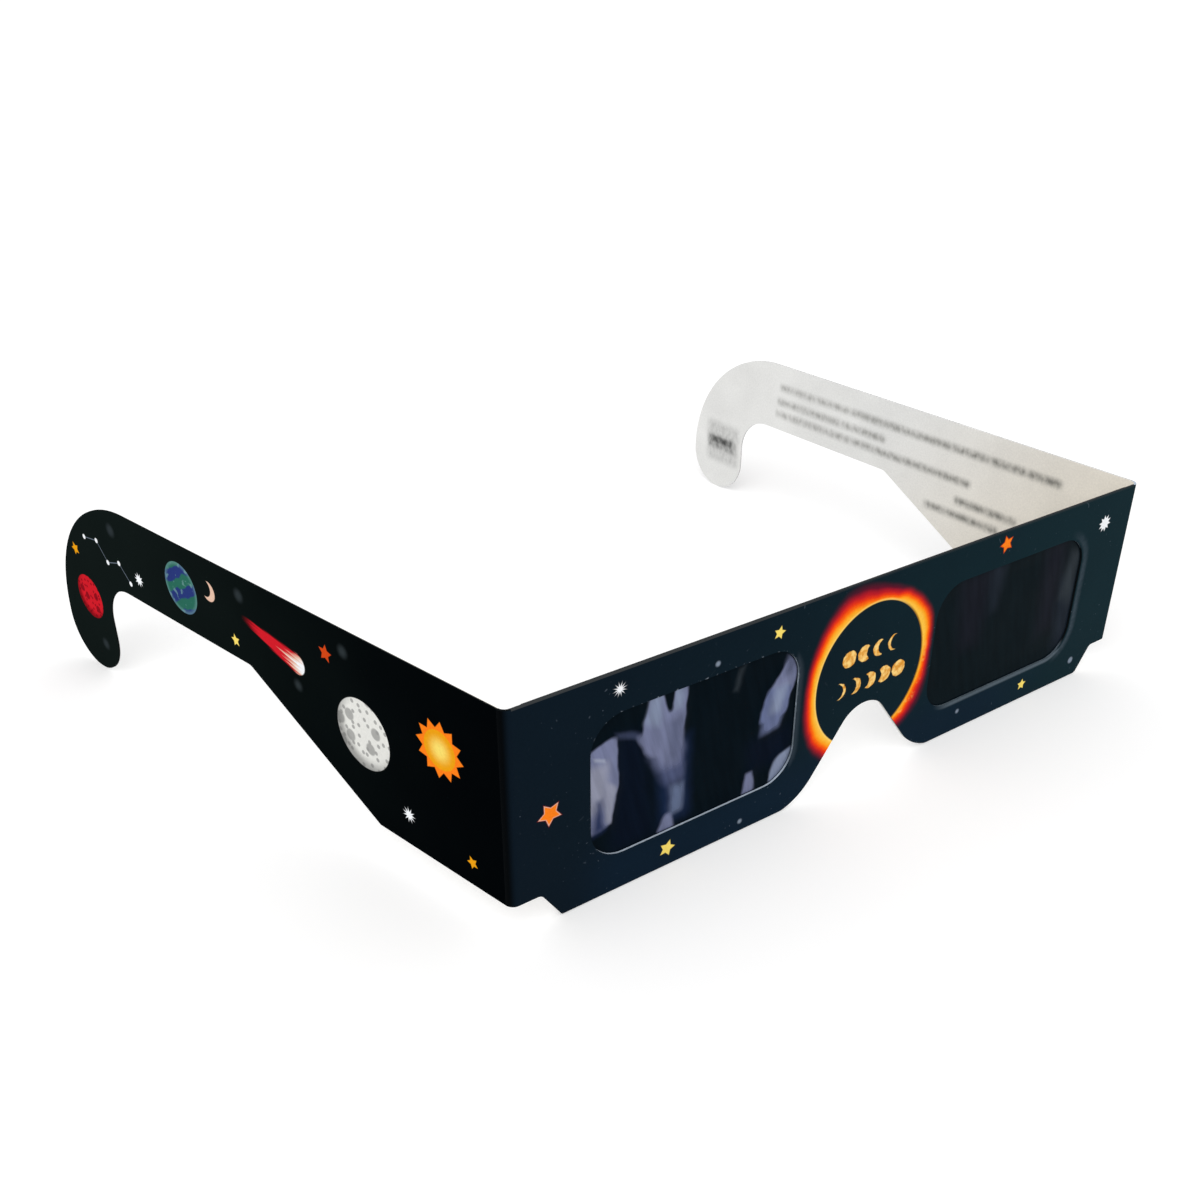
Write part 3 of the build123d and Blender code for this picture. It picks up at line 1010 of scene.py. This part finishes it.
def fine_sheet(name, steps, point):
    """A finely divided sheet. Point gives the place at each share of its width and height."""
    across_steps, up_steps = steps
    bpy.ops.object.select_all(action="DESELECT")
    bpy.ops.mesh.primitive_grid_add(x_subdivisions=across_steps, y_subdivisions=up_steps, size=1)
    sheet = bpy.context.object
    sheet.name = name
    sheet.data.name = name
    for vertex in sheet.data.vertices:
        vertex.co = point(vertex.co.x + 0.5, vertex.co.y + 0.5)
    return sheet


def thicken(sheet, thickness, offset, materials):
    """Give a sheet its thickness. Its faces, its other side and its rim take the materials in turn."""
    for material in materials:
        sheet.data.materials.append(material)
    solid = sheet.modifiers.new("board", "SOLIDIFY")
    solid.thickness = thickness
    solid.offset = offset
    solid.material_offset = 1
    solid.material_offset_rim = 2
    bpy.ops.object.modifier_apply(modifier=solid.name)
    bpy.ops.object.shade_smooth_by_angle(angle=smooth_angle)


def crease_strip(name, side):
    """The card's round turn from the front into one arm, curved through the arm's bend."""
    low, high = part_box(f"{name}_crease")

    def strip_point(share, rise):
        return crease_point(name, share, low.z + rise * (high.z - low.z))

    strip = fine_sheet(f"{name}_crease_strip", crease_steps, strip_point)
    if side < 0:
        strip.data.flip_normals()
    thicken(strip, board, -1.0, crease_faces(name, side))
    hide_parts(f"{name}_crease")
    crease_point(name, 0.0, 0.0)
    crease_point(name, 1.0, 0.0)
    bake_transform(strip)


def window_depth(across, up):
    """How far a point lies inside the edge of a window, from the window's middle."""
    past_side = abs(across) - window_width / 2 + window_corner
    past_top = abs(up) - window_height / 2 + window_corner
    corner = hypot(max(past_side, 0.0), max(past_top, 0.0))
    return window_corner - corner - min(max(past_side, past_top), 0.0)


def smooth_share(value):
    """From 0 to 1 and level at both ends."""
    share = min(max(value, 0.0), 1.0)
    return share * share * (3 - 2 * share)


def facet_lift(facets, across, up):
    """How far the film's facets lift it at a point, from 0 to 1: a bright facet stands out."""
    lift = 0.0
    for level, edges in facets:
        outside = max(x * across / mm + z * up / mm - offset for x, offset, z in edges)
        lift += (level - lift) * smooth_share(0.5 - outside / facet_slope)
    return lift


def film_sheet(name, side):
    """Thin film, held flat between the plies and loosely wrinkled in its window."""
    low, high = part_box(f"{name}_lens_film")
    middle = (low + high) / 2
    size = high - low
    facets = [(min(reflection_ink[1] / film_gleam[1], 1.0), facet_edges(corners))
              for reflection_ink, _, corners in film_facets[name]]

    def film_point(share, rise):
        across = (share - 0.5) * size.x
        up = (rise - 0.5) * size.z
        free = smooth_share(window_depth(across, up) / film_hold)
        slack = noise.noise(Vector((across, side, up)) / film_slack) * film_waves
        bulge = film_bulge * free * (facet_lift(facets, across, up) - film_sink + slack)
        return middle + Vector((across, -bulge, up))

    sheet = fine_sheet(f"{name}_film_sheet", film_steps, film_point)
    thicken(sheet, size.y, 0.0, [lens_film(name, side)])
    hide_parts(f"{name}_lens_film")
    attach(sheet, "front")


def dress_nodes():
    """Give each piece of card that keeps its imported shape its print."""
    finishes = {
        "front_panel": printed_front(),
        "back_panel": plain_flap(),
        "glue_layer": dried_glue(),
        "right_temple": printed_arm("right", sides["right"]),
        "left_temple": printed_arm("left", sides["left"]),
    }
    fold = folded_print()
    for node in ("right_bottom_fold", "left_bottom_fold"):
        finishes[node] = fold
    for node, material in finishes.items():
        for material_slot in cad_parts[node].material_slots:
            material_slot.material = material


# Studio

def seen_ray(tree):
    """1 for a ray from the camera, off a gloss or through glass, and 0 for one that lights."""
    path = tree.nodes.new("ShaderNodeLightPath").outputs
    camera_ray = Wire(tree, path["Is Camera Ray"])
    return camera_ray.do("MAXIMUM", path["Is Glossy Ray"]).do("MAXIMUM", path["Is Transmission Ray"])


def set_floor():
    """A pale floor that keeps the shadow."""
    bpy.ops.object.select_all(action="DESELECT")
    bpy.ops.mesh.primitive_plane_add(size=2 * floor_reach, location=(0, 0, card_bottom))
    floor = bpy.context.object
    floor.name = "studio_floor"
    material, tree, shader = start_material("pale_floor", 1.0, 0.0)
    shader.inputs["Base Color"].default_value = floor_colour
    shader.inputs["Emission Color"].default_value = plain_white
    connect(tree, seen_ray(tree) * floor_glow, shader.inputs["Emission Strength"])
    floor.data.materials.append(material)


def set_light():
    """An even white sky and one broad soft key."""
    world = bpy.data.worlds.new("studio_sky")
    world.use_nodes = True
    tree = world.node_tree
    background = tree.nodes["Background"]
    background.inputs["Color"].default_value = plain_white
    connect(tree, seen_ray(tree) * (1.0 - sky_strength) + sky_strength, background.inputs["Strength"])
    bpy.context.scene.world = world
    key = bpy.data.lights.new("soft_key", "SUN")
    key.energy = key_strength
    key.angle = key_softness
    lamp = bpy.data.objects.new("soft_key", key)
    lamp.rotation_euler = key_direction.to_track_quat("-Z", "Y").to_euler()
    bpy.context.scene.collection.objects.link(lamp)


def set_camera():
    """The camera, and plain view settings."""
    view = bpy.data.cameras.new("photo_view")
    view.lens = camera_lens
    camera = bpy.data.objects.new("photo_view", view)
    camera.location = camera_place
    aim = camera_look.to_track_quat("-Z", "Y").to_matrix()
    camera.rotation_euler = (aim @ Matrix.Rotation(camera_roll, 3, "Z")).to_euler()
    bpy.context.scene.collection.objects.link(camera)
    bpy.context.scene.camera = camera
    bpy.context.scene.view_settings.view_transform = "Standard"


set_camera()
set_floor()
set_light()
dress_nodes()
for arm, arm_side in sides.items():
    crease_strip(arm, arm_side)
    film_sheet(arm, arm_side)
